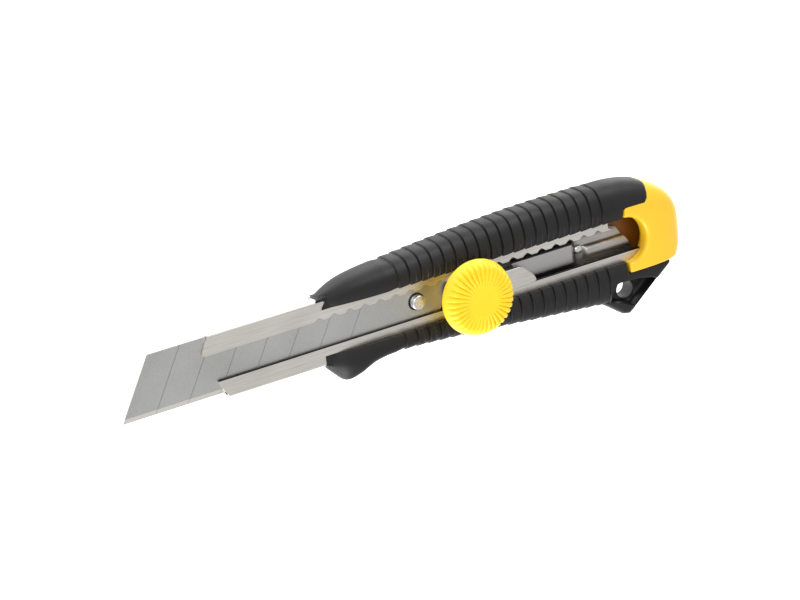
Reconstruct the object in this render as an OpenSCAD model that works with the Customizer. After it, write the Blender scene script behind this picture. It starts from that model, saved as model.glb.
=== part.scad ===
// Snap-off utility knife with a screw-down lock wheel, lying on its flat back.
// Millimetres. +X runs from the blade tip to the butt, +Y from the cutting edge to the spine,
// +Z out of the wheel side. The origin is the foot of the wheel's axis on the flat back.

/* [Blade] */
// Width of the blade from cutting edge to spine
blade_w = 18; // [16:0.5:20]
// Thickness of the blade
blade_t = 0.5; // [0.4:0.05:0.7]
// Length of the cutting edge
blade_len = 100; // [80:10:110]
// Distance between two snap lines
snap_pitch = 10; // [8:1:12]
// Angle of the snap lines and of both blade ends
snap_angle = 60; // [55:1:65]
// Diameter of the hole that hooks on the carriage pin
blade_hole_d = 5.4; // [4.8:0.1:6]
// Height of the ground bevel along the cutting edge
bevel_h = 1.4; // [0.8:0.1:2]
// How far the blade stands out of the wheel side at rest, from tip to wheel axis
tip_to_wheel = 110; // [105:1:115]

/* [Channel] */
// Thickness of the channel's steel sheet
sheet = 0.7; // [0.6:0.05:0.9]
// Gap between the blade's face and the lips
lip_play = 0.1; // [0.05:0.05:0.2]
// Spare width of the channel beside the blade
side_play = 1.1; // [0.6:0.1:1.5]
// Outer depth of the channel inside the handle
channel_d = 5.4; // [5.2:0.1:6]
// Outer depth of the channel at its nose
nose_d = 2.2; // [2:0.1:2.6]
// Place of the upper lip's free edge, from the centre line
lip_up = 4.0; // [3.6:0.1:4.4]
// Place of the lower lip's free edge, from the centre line
lip_low = 4.2; // [3.6:0.1:4.4]
// Distance between two detent notches
notch_pitch = 5; // [4:0.5:6]
// Number of detent notches in the upper lip
notch_n = 20; // [10:1:20]
// Depth of a detent notch
notch_h = 1.1; // [0.7:0.1:1.3]

/* [Handle] */
// Thickness of the handle from its flat back to the top of the grips
handle_t = 16.6; // [16:0.1:19]
// Height of the blade's upper face above the flat back
blade_z = 12.2; // [11.8:0.1:12.6]
// Upper side of the long opening between the two grips, from the centre line
mouth_up = 7.4; // [7:0.1:7.8]
// Lower side of the long opening, from the centre line
mouth_low = 6.9; // [6.7:0.1:7.4]
// Wall of the core beside the channel
core_wall = 0.9; // [0.6:0.1:1]
// Thickness of the back cover
cover_t = 1.6; // [1.2:0.1:2]
// Thickness of rubber over the core's back edges
rubber_t = 2.0; // [1.5:0.1:2.5]
// Diameter of the lanyard hole
lanyard_d = 6; // [5:0.5:6.5]

/* [Lock] */
// Diameter of the lock wheel
wheel_d = 23; // [20:0.2:24]
// Height of the wheel's top above the flat back
wheel_top = 26.3; // [25.6:0.1:28]
// Thickness of the wheel's rim
wheel_h = 6.3; // [5:0.1:7]
// Number of radial finger grooves in the wheel
groove_n = 36; // [24:2:40]
// Diameter of the lock stud
stud_d = 5; // [4:0.5:5]
// Rise of the wheel in one turn
stud_pitch = 0.8; // [0.5:0.1:0.8]
// Diameter of the carriage pin
pin_d = 4.5; // [4:0.1:4.7]
// Thickness of the clamp plate
plate_t = 1.0; // [0.8:0.1:1.2]
// Thickness of the thrust washer
washer_t = 0.8; // [0.5:0.1:1]

/* [Fits] */
// Radial gap of a part that turns on the stud
run_fit = 0.05; // [0.03:0.01:0.1]
// Gap between parts that slide past each other
slide_fit = 0.1; // [0.05:0.05:0.15]
// Gap between the carriage and the channel's sides
carriage_play = 0.25; // [0.15:0.05:0.4]

/* [Hidden] */
$fn = 64;
eps = 0.01;

steel = [0.78, 0.77, 0.75];
dark_steel = [0.34, 0.34, 0.35];
yellow = [0.98, 0.82, 0.16];
black = [0.13, 0.13, 0.14];
brass = [0.80, 0.65, 0.30];

// Blade: its lower edge lies a half play above the channel's lower side.
channel_in = blade_w + side_play;
blade_y0 = channel_in / 2 - 0.05 - blade_w;
blade_lean = blade_w / tan(snap_angle);
blade_hole = [-15, blade_y0 + blade_w / 2];
blade_bottom = blade_z - blade_t;
snap_n = 7;
score_w = 0.3;
score_h = 0.12;
edge_t = 0.06;

// Channel: the deep part runs from deep_x back, and the nose is pressed flatter.
channel_out = channel_in + 2 * sheet;
nose_depth = max(nose_d, 2 * sheet + blade_t + 2 * lip_play);
lip_under = blade_z + lip_play;
lip_top = lip_under + sheet;
floor_under = lip_top - channel_d;
floor_top = floor_under + sheet;
nose_x = -82;
shoulder_x = -68;
shoulder_d = 4.1;
handle_x = -46;
entry_d = 4.6;
deep_x = -30;
channel_end = 66;
rear_notch = [57.2, 2.7];
rear_lip_x = 51.8;
bend_r = 1.2;
notch_x0 = -46.93;
notch_half = 1.45;

// Ridges pressed up in the channel's floor: a wide flat one and a narrow round one.
ridge_top = 10;
ridge_y = -1;
ridge_half = 2.6;
ridge_x0 = -28;
ridge_x1 = 41.4;
rib_y = -2.2;
rib_r = 1.75;
rib_x1 = 58;

// Carriage: it slides on the wide ridge, under the blade.
carriage_z0 = ridge_top + slide_fit;
carriage_z1 = blade_bottom - slide_fit;
pad_top = lip_under - slide_fit;
carriage_half = channel_in / 2 - carriage_play;
carriage_x0 = -26;
carriage_x1 = 20;
stud_flange_r = 3.8;
stud_flange_t = 1.2;
pin_top = blade_z + 2.1;
pin_chamfer = 0.25;

// Lock stack, from the lips up.
plate_z0 = lip_top;
plate_z1 = plate_z0 + plate_t;
hub_z0 = plate_z1 + washer_t;
hub_r = 6;
insert_r = 4;
insert_top = 21.5;
clip_z0 = insert_top + stud_pitch + slide_fit;
clip_t = 0.6;
stud_top = clip_z0 + clip_t + 0.4;
wheel_r = wheel_d / 2;
wheel_z0 = wheel_top - wheel_h;
cap_r = 4.2;
cap_t = 1.2;
cap_seat = wheel_top - cap_t;
groove_r = 0.55;
plate_r = 6;
tail_end = 24.7;
spring_r = 3.6;

// Detent spring: its tooth rests in the second notch behind the stud.
tooth_x = 8.07;
tooth_y = lip_up + notch_h - 0.2;
leaf_y = 3.4;
leaf_t = 0.35;
leaf_h = 0.6;
rivet_x = [13, 16.6];
rivet_y = 0.2;
leaf_rivet_r = 0.8;

// Handle envelope: half thickness, and the grips' outlines seen from the wheel side.
// Each row is [x, upper outline, lower outline, top, bottom].
half_t = handle_t / 2;
butt_x = 77.8;
outline = [[-46.8, 10.3, -10.4, 13.7, 6.9], [-43, 11.6, -14.6, 14.8, 4.6], [-40.4, 12.3, -16.9, 15.4, 3],
           [-36.5, 13.2, -15.8, 15.9, 1.7], [-31, 13.9, -13.3, 16.4, 0.6], [-24, 14.5, -12.5, handle_t, 0],
           [-11, 15.7, -13.2, handle_t, 0], [8, 17.2, -14.9, handle_t, 0], [24, 18.0, -16.6, handle_t, 0],
           [45, 18.2, -18.6, handle_t, 0], [50, 18, -19.2, handle_t, 0]];
station_step = 3;
ring_n = 40;
upper_power = 3.2;
lower_power = 5;
end_x = 50;
end_y = 18;
end_low = -19.2;
end_power = 2.4;
roll_x = 60;
roll_power = 3;

// Core: a U-shaped sheath round the channel, with the butt loop at its rear.
core_x0 = -44;
sheath_x0 = -31;
plinth_x0 = -24;
core_x1 = 56.6;
core_out = channel_out / 2 + core_wall;
plinth_half = 9;
seat_gap = 0.05;
core_floor = floor_under - seat_gap;
core_lip = lip_top - 0.2;
channel_seat = channel_out / 2 + seat_gap;
sheath_z0 = rubber_t + 0.2;
cavity_x0 = -20;
cavity_x1 = 49;
cavity_half = 7.6;
cavity_top = core_floor - 1.5;
butt_y = 10.3;
butt_wall = 4.9;
seam_top = 22;
seam = [[65.7, butt_y], [66.3, 12.5], [66.8, 14.5], [68, 17], [70, seam_top]];
loop_x = 56.4;
loop_r = 7.2;
loop_lip_z = blade_z - 0.7;
cover_half = 8.2;
cover_x0 = -21.5;
cover_x1 = 50.5;
screw_x = [-16, 14, 36];
screw_r = 1.25;
screw_head_r = 2.4;
screw_head_t = 1.3;
screw_len = 5.2;
boss_r = 3;
rivet_r = 1.1;
rivet_head_r = 1.5;
rivet_head_t = 0.9;
rivet_at = [[-9, 5.5], [43.3, -0.7]];
rib_x0 = rivet_at[1][0] + rivet_head_r + seat_gap;

// Tail: a hard snapper block below the butt.
tail_x0 = 47.5;
tail_z0 = 2.6;
tail_z1 = 14.2;
tail_pocket_z = 9;
lanyard = [58.2, -17.8];
tail_tip = [56.5, -22.5];
tail_tip_r = 1.8;
tail_rear = [72.6, -11.1];
tail_web_y = max(core_out, butt_y + 0.8) + seat_gap;
tail_pocket = [[51.8, -13.2], [60.6, -13.6], [65.4, -14.7], [67.2, -15.7], [58.5, -22.1], [56.7, -21.3],
               [54.3, -20.2], [48, -17.6], [48.9, -16.6], [51.7, -14.9]];
lug_x = [58, 67];
lug_y = -3.5;
lug_z = 5.2;
snapper_at = [62.5, -7];
snapper_cover = 0.55;
snapper_len = core_floor - snapper_cover;

// Value at x of a row list, smoothed with a cubic through the neighbouring rows.
function row_at(rows, x) = max([for (i = [0:len(rows) - 2]) if (x >= rows[i][0]) i]);
function slope(rows, i, c) =
    let (a = max(i - 1, 0), b = min(i + 1, len(rows) - 1))
    (rows[b][c] - rows[a][c]) / (rows[b][0] - rows[a][0]);
function curve(rows, x, c) =
    let (i = row_at(rows, x), h = rows[i + 1][0] - rows[i][0], t = (x - rows[i][0]) / h)
    let (t2 = t * t, t3 = t2 * t)
    (2 * t3 - 3 * t2 + 1) * rows[i][c] + (t3 - 2 * t2 + t) * h * slope(rows, i, c)
    + (3 * t2 - 2 * t3) * rows[i + 1][c] + (t3 - t2) * h * slope(rows, i + 1, c);
// The butt closes on a rounded end: both outlines and the thickness fall to nothing at butt_x.
function fall(x, from, p) = pow(max(0, 1 - pow(max(0, x - from) / (butt_x - from), p)), 1 / p);
function high_side(x) = x < end_x ? curve(outline, x, 1) : end_y * fall(x, end_x, end_power);
function low_side(x) = x < end_x ? curve(outline, x, 2) : end_low * fall(x, end_x + 6, end_power);
function top_z(x) = x < end_x ? curve(outline, x, 3) : half_t + half_t * fall(x, roll_x, roll_power);
function bottom_z(x) = x < end_x ? curve(outline, x, 4) : half_t - half_t * fall(x, roll_x, roll_power);
function power(v, p) = sign(v) * pow(abs(v), 2 / p);
function ring(x) =
    let (zc = (top_z(x) + bottom_z(x)) / 2, b = (top_z(x) - bottom_z(x)) / 2)
    [for (i = [0:ring_n - 1])
        let (a = 360 * (i + 0.5) / ring_n, up = cos(a) > 0, p = up ? upper_power : lower_power)
        [x, up ? high_side(x) * power(cos(a), p) : -low_side(x) * power(cos(a), p), zc + b * power(sin(a), p)]];
stations = concat([for (x = [outline[0][0]:station_step:58]) x],
                  [for (d = [17.8, 14.8, 11.8, 9.3, 7.1, 5.2, 3.6, 2.4, 1.5, 0.9, 0.5, 0.15]) butt_x - d]);

// Skin a list of equal rings, each a loop of points, into one closed solid.
module skin(rings) {
    n = len(rings[0]);
    m = len(rings);
    points = [for (r = rings) each r];
    sides = [for (j = [0:m - 2], i = [0:n - 1]) let (k = (i + 1) % n)
        each [[j * n + i, (j + 1) * n + i, (j + 1) * n + k], [j * n + i, (j + 1) * n + k, j * n + k]]];
    caps = [[for (i = [0:n - 1]) i], [for (i = [n - 1:-1:0]) (m - 1) * n + i]];
    polyhedron(points, concat(sides, caps));
}

module envelope() {
    skin([for (x = stations) ring(x)]);
}

// A plan outline raised from z0 to z1.
module slab(z0, z1) {
    translate([0, 0, z0]) linear_extrude(z1 - z0) children();
}

// An outline drawn in X and Z, carried across the width from -half to half.
module across(half) {
    translate([0, half, 0]) rotate([90, 0, 0]) linear_extrude(2 * half) children();
}

// An outline drawn in Y and Z, carried along X from x0 to x1.
module along(x0, x1) {
    translate([x0, 0, 0]) rotate([90, 0, 90]) linear_extrude(x1 - x0) children();
}

module block(x0, x1, y0, y1, z0, z1) {
    translate([x0, y0, z0]) cube([x1 - x0, y1 - y0, z1 - z0]);
}

module post(at, r, z0, z1) {
    translate([at[0], at[1], z0]) cylinder(r = r, h = z1 - z0);
}

// Blade --------------------------------------------------------------
module blade_plan() {
    x0 = -tip_to_wheel;
    polygon([[x0, blade_y0], [x0 + blade_len, blade_y0],
             [x0 + blade_len + blade_lean, blade_y0 + blade_w], [x0 + blade_lean, blade_y0 + blade_w]]);
}

module blade_section() {
    mid = blade_z - blade_t / 2;
    spine = blade_y0 + blade_w;
    polygon([[blade_y0 + bevel_h, blade_bottom], [blade_y0, mid - edge_t / 2], [blade_y0, mid + edge_t / 2],
             [blade_y0 + bevel_h, blade_z], [spine, blade_z], [spine, blade_bottom]]);
}

module snap_line(i) {
    translate([-tip_to_wheel + i * snap_pitch, blade_y0, blade_z - score_h])
        rotate([0, 0, snap_angle]) translate([-1, -score_w / 2, 0]) cube([blade_w * 1.3, score_w, 1]);
}

module blade() {
    color(steel) difference() {
        intersection() {
            slab(blade_bottom - 1, blade_z + 1) blade_plan();
            along(-tip_to_wheel - 1, blade_len) blade_section();
        }
        for (i = [1:snap_n]) snap_line(i);
        post(blade_hole, blade_hole_d / 2, blade_bottom - 1, blade_z + 1);
    }
}

// Channel ------------------------------------------------------------
// Side view of the channel, moved in by the sheet thickness for its inside.
module channel_side(inset) {
    top = lip_top - inset;
    polygon([[nose_x - 6, top], [channel_end + 1, top], [channel_end + 1, floor_under + inset],
             [deep_x, floor_under + inset], [handle_x, lip_top - entry_d + inset],
             [shoulder_x, lip_top - shoulder_d + inset], [nose_x, lip_top - nose_depth + inset],
             [nose_x - 6, lip_top - nose_depth + inset]]);
}

// Seen from above: a slanted nose, and a rear end cut to match the blade's slant.
module channel_plan() {
    w = channel_out / 2 + 1;
    polygon([[nose_x + 0.4, w], [nose_x - 2, 5], [nose_x - 1.6, lip_up], [nose_x + 1, 2], [nose_x + 1, -3],
             [nose_x + 1.7, -lip_low], [nose_x + 4, -w], [channel_end, -w], rear_notch, [rear_lip_x, lip_up + 0.6],
             [rear_lip_x, w]]);
}

module notch(i) {
    x = notch_x0 + i * notch_pitch;
    polygon([[x - notch_half, lip_up - 1], [x - notch_half, lip_up], [x - 0.2, lip_up + notch_h],
             [x + 0.2, lip_up + notch_h], [x + notch_half, lip_up], [x + notch_half, lip_up - 1]]);
}

module lip_opening() {
    translate([nose_x - 7, -lip_low]) square([channel_end - nose_x + 8, lip_low + lip_up]);
    for (i = [0:notch_n - 1]) notch(i);
}

// Section with rounded front bends.
module channel_section() {
    w = channel_out / 2;
    translate([-w, floor_under - 1]) square([2 * w, channel_d + 1 - bend_r]);
    translate([-w + bend_r, floor_under]) square([2 * (w - bend_r), channel_d]);
    for (s = [-1, 1]) translate([s * (w - bend_r), lip_top - bend_r]) circle(bend_r);
}

module wide_ridge(drop) {
    polygon([[ridge_y - ridge_half - 1, floor_top - eps - drop], [ridge_y - ridge_half, ridge_top - drop],
             [ridge_y + ridge_half, ridge_top - drop], [ridge_y + ridge_half + 1, floor_top - eps - drop]]);
}

module narrow_rib() {
    intersection() {
        translate([rib_y, floor_top]) circle(rib_r);
        translate([rib_y - 3, floor_top - eps]) square([6, 3]);
    }
}

module blade_channel() {
    color(steel) difference() {
        union() {
            difference() {
                intersection() {
                    across(channel_out / 2) channel_side(0);
                    slab(0, lip_top + 1) channel_plan();
                    along(nose_x - 6, channel_end) channel_section();
                }
                across(channel_in / 2) channel_side(sheet);
                slab(lip_under - eps, lip_top + 1) lip_opening();
            }
            along(ridge_x0, ridge_x1) wide_ridge(0);
            along(rib_x0, rib_x1) narrow_rib();
        }
        along(ridge_x0 + sheet, ridge_x1 - sheet) wide_ridge(sheet + 0.1);
        for (r = rivet_at) post(r, rivet_r, 0, lip_under - 1);
    }
}

module channel_rivets() {
    color(steel) for (r = rivet_at) {
        head_z = floor_top;
        post(r, rivet_r, cavity_top - rivet_head_t, head_z);
        post(r, rivet_head_r, head_z, head_z + rivet_head_t);
        post(r, rivet_head_r, cavity_top - rivet_head_t, cavity_top);
    }
}

// Core ---------------------------------------------------------------
// Sheath beside the channel, plinth under it, and a nose that follows the grips' underside.
module core_block() {
    block(sheath_x0, core_x1 + core_wall, -core_out, core_out, sheath_z0, core_lip);
    block(plinth_x0, core_x1, -plinth_half, plinth_half, 0, core_floor);
    intersection() {
        envelope();
        block(core_x0, plinth_x0 + eps, -plinth_half, plinth_half, -1, core_floor);
    }
}

// Region of the envelope that belongs to the butt, seen from above.
module butt_plan() {
    polygon(concat([[core_x1, butt_y], [core_x1, -butt_y], [butt_x + 1, -butt_y], [butt_x + 1, seam_top]],
                   [for (i = [len(seam) - 1:-1:0]) seam[i]]));
}

module loop_plan() {
    translate([loop_x, 0]) circle(loop_r);
    translate([core_x1 - 20, -loop_r]) square([loop_x - core_x1 + 20, 2 * loop_r]);
}

// Hollow of the butt behind the loop's front wall, and the channel's own seat in it.
module butt_hollow() {
    rear = butt_x - butt_wall;
    slab(core_floor, loop_lip_z)
        polygon([[core_x1 - 1, -channel_seat], [channel_end + 0.5, -channel_seat], [rear - 1.6, -6], [rear, 0],
                 [rear - 1.6, 6], [62, channel_seat], [core_x1 - 1, channel_seat]]);
    slab(core_floor, lip_top + slide_fit)
        polygon([[core_x1 - 1, -channel_seat], [channel_end + 0.5, -channel_seat],
                 [rear_notch[0] + 0.5, rear_notch[1]], [core_x1 - 1, rear_notch[1]]]);
}

module core_body() {
    color(yellow) difference() {
        union() {
            core_block();
            intersection() {
                envelope();
                slab(-1, handle_t + 1) butt_plan();
            }
        }
        block(core_x0 - 1, core_x1, -channel_seat, channel_seat, core_floor, handle_t + 1);
        slab(loop_lip_z - eps, handle_t + 2) loop_plan();
        butt_hollow();
        difference() {
            block(cavity_x0, cavity_x1, -cavity_half, cavity_half, -1, cavity_top);
            for (x = screw_x) post([x, 0], boss_r, -2, cavity_top + 1);
        }
        block(cover_x0, cover_x1, -cover_half, cover_half, -1, cover_t + seat_gap);
        for (x = screw_x) post([x, 0], screw_r, 0, screw_len + 0.3);
        for (r = rivet_at) post(r, rivet_r, 0, core_floor + 1);
        tail_lug(seat_gap);
        post(snapper_at, screw_r, 0, snapper_len + 0.3);
        post(snapper_at, screw_head_r + seat_gap, -1, screw_head_t);
    }
}

module back_cover() {
    gap = seat_gap;
    color(yellow) difference() {
        block(cover_x0 + gap, cover_x1 - gap, -cover_half + gap, cover_half - gap, 0, cover_t);
        for (x = screw_x) {
            post([x, 0], screw_r + 0.1, -1, cover_t + 1);
            post([x, 0], screw_head_r + gap, -1, screw_head_t);
        }
    }
}

// A cross-slotted screw that stands head down in the back.
module flat_screw(at, length) {
    difference() {
        union() {
            post(at, screw_head_r, 0.2, screw_head_t);
            post(at, screw_r, 0.2, length);
        }
        for (a = [0, 90])
            translate([at[0], at[1], 0]) rotate([0, 0, a]) block(-1.5, 1.5, -0.25, 0.25, 0, 0.8);
    }
}

module cover_screws() {
    color(dark_steel) for (x = screw_x) flat_screw([x, 0], screw_len);
}

// Grips --------------------------------------------------------------
// Everything that the grips leave free: the core, the channel and the opening between them.
module grip_spaces() {
    front = outline[0][0] - 1;
    block(sheath_x0, 90, -core_out, core_out, sheath_z0, core_lip);
    block(core_x0, 90, -plinth_half, plinth_half, -1, lip_top);
    block(front, 90, -channel_seat, channel_seat, core_floor, lip_top);
    block(front, core_x1 + 1, -mouth_low, mouth_up, 0, handle_t + 2);
}

module upper_plan() {
    polygon(concat([[-60, seam_top], [-60, 0], [core_x1, 0], [core_x1, butt_y]], seam));
}

module lower_plan() {
    end = core_x1 - 0.6;
    polygon([[-60, 0], [end, 0], [end, -butt_y], [tail_x0, -butt_y - 0.6], [tail_x0, -30], [-60, -30]]);
}

module upper_grip() {
    color(black) difference() {
        intersection() {
            envelope();
            slab(-1, handle_t + 1) upper_plan();
        }
        grip_spaces();
    }
}

module lower_grip() {
    color(black) difference() {
        intersection() {
            envelope();
            slab(-1, handle_t + 1) lower_plan();
        }
        grip_spaces();
    }
}

// Tail ---------------------------------------------------------------
module tail_plan() {
    hull() {
        translate(tail_tip) circle(tail_tip_r);
        translate([tail_x0 + 1, -18.3]) circle(1);
        translate([tail_x0 + 1, -11.4]) circle(1);
        translate([tail_rear[0] - 1, tail_rear[1] - 0.3]) circle(1);
    }
}

// The lug reaches into the core, where a screw from the back holds it.
module tail_lug(gap) {
    block(lug_x[0] - gap, lug_x[1] + gap, -butt_y - 2, lug_y + gap, tail_z0 - gap, lug_z + gap);
}

module tail_snapper() {
    color(black) difference() {
        union() {
            difference() {
                slab(tail_z0, tail_z1) tail_plan();
                slab(tail_pocket_z, tail_z1 + 1) polygon(tail_pocket);
                block(tail_x0 - 1, 80, -butt_y - seat_gap, 0, 0, handle_t);
                block(tail_x0 - 1, core_x1 + core_wall + seat_gap, -tail_web_y, 0, 0, handle_t);
            }
            tail_lug(0);
        }
        post(lanyard, lanyard_d / 2, 0, handle_t);
        post(snapper_at, screw_r + 0.1, 0, handle_t);
    }
}

module snapper_screw() {
    color(dark_steel) flat_screw(snapper_at, snapper_len);
}

// Carriage -----------------------------------------------------------
// Seen from above, the pad fills the lips' level behind the blade's slanted end.
module carriage_plan() {
    polygon([[carriage_x0, -carriage_half], [carriage_x1 + 3, -carriage_half],
             [carriage_x1 - 5, carriage_half], [carriage_x0, carriage_half]]);
}

module pad_plan() {
    x0 = blade_len - tip_to_wheel + 2 * slide_fit;
    polygon([[x0 + (-carriage_half - blade_y0) / tan(snap_angle), -carriage_half],
             [x0 + (carriage_half - blade_y0) / tan(snap_angle), carriage_half],
             [carriage_x1 - 5, carriage_half], [carriage_x1 + 3, -carriage_half]]);
}

module carriage() {
    color(dark_steel) difference() {
        union() {
            slab(carriage_z0, carriage_z1) carriage_plan();
            slab(carriage_z1 - eps, pad_top) pad_plan();
        }
        post(blade_hole, pin_d / 2, 0, blade_z);
        post([0, 0], stud_d / 2, 0, handle_t);
        post([0, 0], stud_flange_r, 0, carriage_z0 + stud_flange_t);
        for (x = rivet_x) post([x, rivet_y], leaf_rivet_r, 0, handle_t);
    }
}

module blade_pin() {
    color(steel) {
        post(blade_hole, pin_d / 2, carriage_z0, pin_top - pin_chamfer);
        translate([blade_hole[0], blade_hole[1], pin_top - pin_chamfer])
            cylinder(r1 = pin_d / 2, r2 = pin_d / 2 - pin_chamfer, h = pin_chamfer);
    }
}

// Threads are plain cylinders.
module lock_stud() {
    color(steel) {
        post([0, 0], stud_flange_r, carriage_z0, carriage_z0 + stud_flange_t);
        post([0, 0], stud_d / 2, carriage_z0 + stud_flange_t - eps, stud_top);
    }
}

// A leaf on edge beside the stud, with a tooth that rests in a notch of the upper lip.
module spring_plan() {
    x = tooth_x;
    polygon([[x - 2.2, leaf_y], [x - 1.1, leaf_y], [x - 0.15, tooth_y], [x + 0.15, tooth_y],
             [x + 1.1, leaf_y], [rivet_x[0] - 1.5, leaf_y], [rivet_x[0] - 0.5, rivet_y + 1.4],
             [rivet_x[1] + 1.4, rivet_y + 1.4], [rivet_x[1] + 1.4, rivet_y - 1.4],
             [rivet_x[0] - 1.4, rivet_y - 1.4],
             [rivet_x[0] - 2.1, leaf_y - leaf_t], [x - 2.2, leaf_y - leaf_t]]);
}

module detent_spring() {
    color(steel) difference() {
        slab(pad_top, pad_top + leaf_h) spring_plan();
        for (x = rivet_x) post([x, rivet_y], leaf_rivet_r, 0, handle_t);
    }
}

module detent_rivets() {
    color(steel) for (x = rivet_x) post([x, rivet_y], leaf_rivet_r, carriage_z0, pad_top + leaf_h);
}

// Lock ---------------------------------------------------------------
// A ring round the stud, from r0 to r1.
module washer(r0, r1, z0, z1) {
    difference() {
        post([0, 0], r1, z0, z1);
        post([0, 0], r0, z0 - 1, z1 + 1);
    }
}

module lift_spring() {
    color(steel) washer(stud_d / 2 + 3 * run_fit, spring_r, pad_top, plate_z0);
}

module clamp_plate() {
    color(steel) difference() {
        slab(plate_z0, plate_z1) union() {
            circle(plate_r);
            polygon([[0, -4.6], [tail_end - 1, -4.6], [tail_end, -3.3], [tail_end - 4.4, 1.8], [0, 1.8]]);
        }
        post([0, 0], stud_d / 2 + run_fit, 0, handle_t);
    }
}

module thrust_washer() {
    color(steel) washer(stud_d / 2 + run_fit, 5, plate_z1, hub_z0);
}

// Profile of the wheel in radius and height: a hub, and a domed rim with a slightly crowned face.
module wheel_profile() {
    polygon([[0, hub_z0], [hub_r, hub_z0], [hub_r, wheel_z0 + 0.6], [wheel_r - 1.6, wheel_z0],
             [wheel_r - 0.5, wheel_z0 + 0.4], [wheel_r, wheel_z0 + 1.2], [wheel_r - 0.3, wheel_z0 + 2.3],
             [wheel_r - 0.5, wheel_z0 + 3.2], [wheel_r - 0.9, wheel_z0 + 4.5], [wheel_r - 1.3, wheel_top - 1],
             [wheel_r - 2.1, wheel_top - 0.35], [wheel_r - 3.6, wheel_top - 0.1], [cap_r + 0.4, wheel_top],
             [0, wheel_top]]);
}

module wheel_groove(i) {
    rotate([0, 0, i * 360 / groove_n]) translate([cap_r + 1, 0, wheel_top + groove_r * 0.4])
        rotate([0, 90, 0]) cylinder(r = groove_r, h = wheel_r, $fn = 16);
}

module lock_wheel() {
    color(yellow) difference() {
        rotate_extrude() wheel_profile();
        post([0, 0], insert_r, 0, insert_top);
        post([0, 0], cap_r, insert_top - eps, wheel_top + 1);
        for (i = [0:groove_n - 1]) wheel_groove(i);
    }
}

module wheel_insert() {
    color(brass) washer(stud_d / 2 + run_fit, insert_r, hub_z0, insert_top);
}

module stud_clip() {
    color(dark_steel) washer(stud_d / 2, stud_d / 2 + 1.1, clip_z0, clip_z0 + clip_t);
}

module wheel_cap() {
    color(yellow) post([0, 0], cap_r, cap_seat, wheel_top);
}

blade();
blade_channel();
channel_rivets();
core_body();
back_cover();
cover_screws();
upper_grip();
lower_grip();
tail_snapper();
snapper_screw();
carriage();
blade_pin();
lock_stud();
detent_spring();
detent_rivets();
lift_spring();
clamp_plate();
thrust_washer();
lock_wheel();
wheel_insert();
stud_clip();
wheel_cap();
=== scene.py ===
import math

import bmesh
import bpy
import numpy as np
from mathutils import Matrix, Vector


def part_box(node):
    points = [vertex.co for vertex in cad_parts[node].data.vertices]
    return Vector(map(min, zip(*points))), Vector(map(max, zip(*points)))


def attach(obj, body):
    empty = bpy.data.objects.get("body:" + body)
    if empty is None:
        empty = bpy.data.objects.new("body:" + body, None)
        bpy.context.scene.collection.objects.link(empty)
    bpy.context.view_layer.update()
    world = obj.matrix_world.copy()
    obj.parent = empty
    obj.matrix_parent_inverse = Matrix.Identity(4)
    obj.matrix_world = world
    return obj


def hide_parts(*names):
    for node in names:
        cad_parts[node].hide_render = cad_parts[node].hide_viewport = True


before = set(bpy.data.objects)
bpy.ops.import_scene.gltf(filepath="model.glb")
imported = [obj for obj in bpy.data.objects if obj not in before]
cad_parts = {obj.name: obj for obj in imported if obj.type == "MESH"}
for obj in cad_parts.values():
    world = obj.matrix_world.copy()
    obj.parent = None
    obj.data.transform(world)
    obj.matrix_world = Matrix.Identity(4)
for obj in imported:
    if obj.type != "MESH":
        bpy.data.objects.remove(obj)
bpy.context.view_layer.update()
mm = 0.001  # every shape below is worked out in millimetres


# Low and high corner of a node's box, in millimetres.
def boxMm(node):
    low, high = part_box(node)
    return np.array(low) / mm, np.array(high) / mm


bladeLow = boxMm("blade")[0]
channelLow, channelHigh = boxMm("blade_channel")
gripLow, gripHigh = boxMm("upper_grip")
coreHigh = boxMm("core_body")[1]
wheelLow, wheelHigh = boxMm("lock_wheel")
plateLow, plateHigh = boxMm("clamp_plate")
pinLow, pinHigh = boxMm("blade_pin")
tailLow, tailHigh = boxMm("tail_snapper")
lipTop = channelHigh[2]
print("frame loaded:", len(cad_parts), "nodes")

# Camera and stage
cameraSettings = {
    "target": (-20.57, 2.8, 13.0),
    "distance": 729.2,
    "back": (-0.41468, 0.34966, 0.84011),  # from the target towards the camera
    "right": (0.86805, -0.12498, 0.48049),  # the view's right-hand direction
    "lens": 113.44,
}
stageSettings = {
    "floorDrop": 160, "floorSize": 6000, "skyStrength": 0.72, "lampTarget": (-15, 0, 10),
    "lamps": {  # place, size and power of each soft light
        "keyLight": ((-420, 380, 620), 420, 1.5),
        "fillLight": ((420, 760, 330), 460, 3.4),
        "rimLight": ((-420, -560, 230), 420, 5.0),
    },
}


# The matrix columns are the view's right, its up and the way back from the target.
def addCamera(settings):
    back = Vector(settings["back"]).normalized()
    right = Vector(settings["right"])
    right = (right - back * right.dot(back)).normalized()
    up = back.cross(right)
    place = Vector(settings["target"]) * mm + back * settings["distance"] * mm
    matrix = Matrix((right, up, back)).transposed().to_4x4()
    matrix.translation = place
    data = bpy.data.cameras.new("camera")
    data.sensor_width = 36
    data.lens = settings["lens"]
    data.clip_start = 0.01
    camera = bpy.data.objects.new("camera", data)
    camera.matrix_world = matrix
    bpy.context.scene.collection.objects.link(camera)
    bpy.context.scene.camera = camera


# A square soft light that faces the middle of the knife.
def addSoftbox(name, place, size, power):
    data = bpy.data.lights.new(name, "AREA")
    data.energy = power
    data.size = size * mm
    light = bpy.data.objects.new(name, data)
    light.location = Vector(place) * mm
    toMiddle = Vector(stageSettings["lampTarget"]) * mm - light.location
    light.rotation_euler = toMiddle.to_track_quat("-Z", "Y").to_euler()
    bpy.context.scene.collection.objects.link(light)


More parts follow.
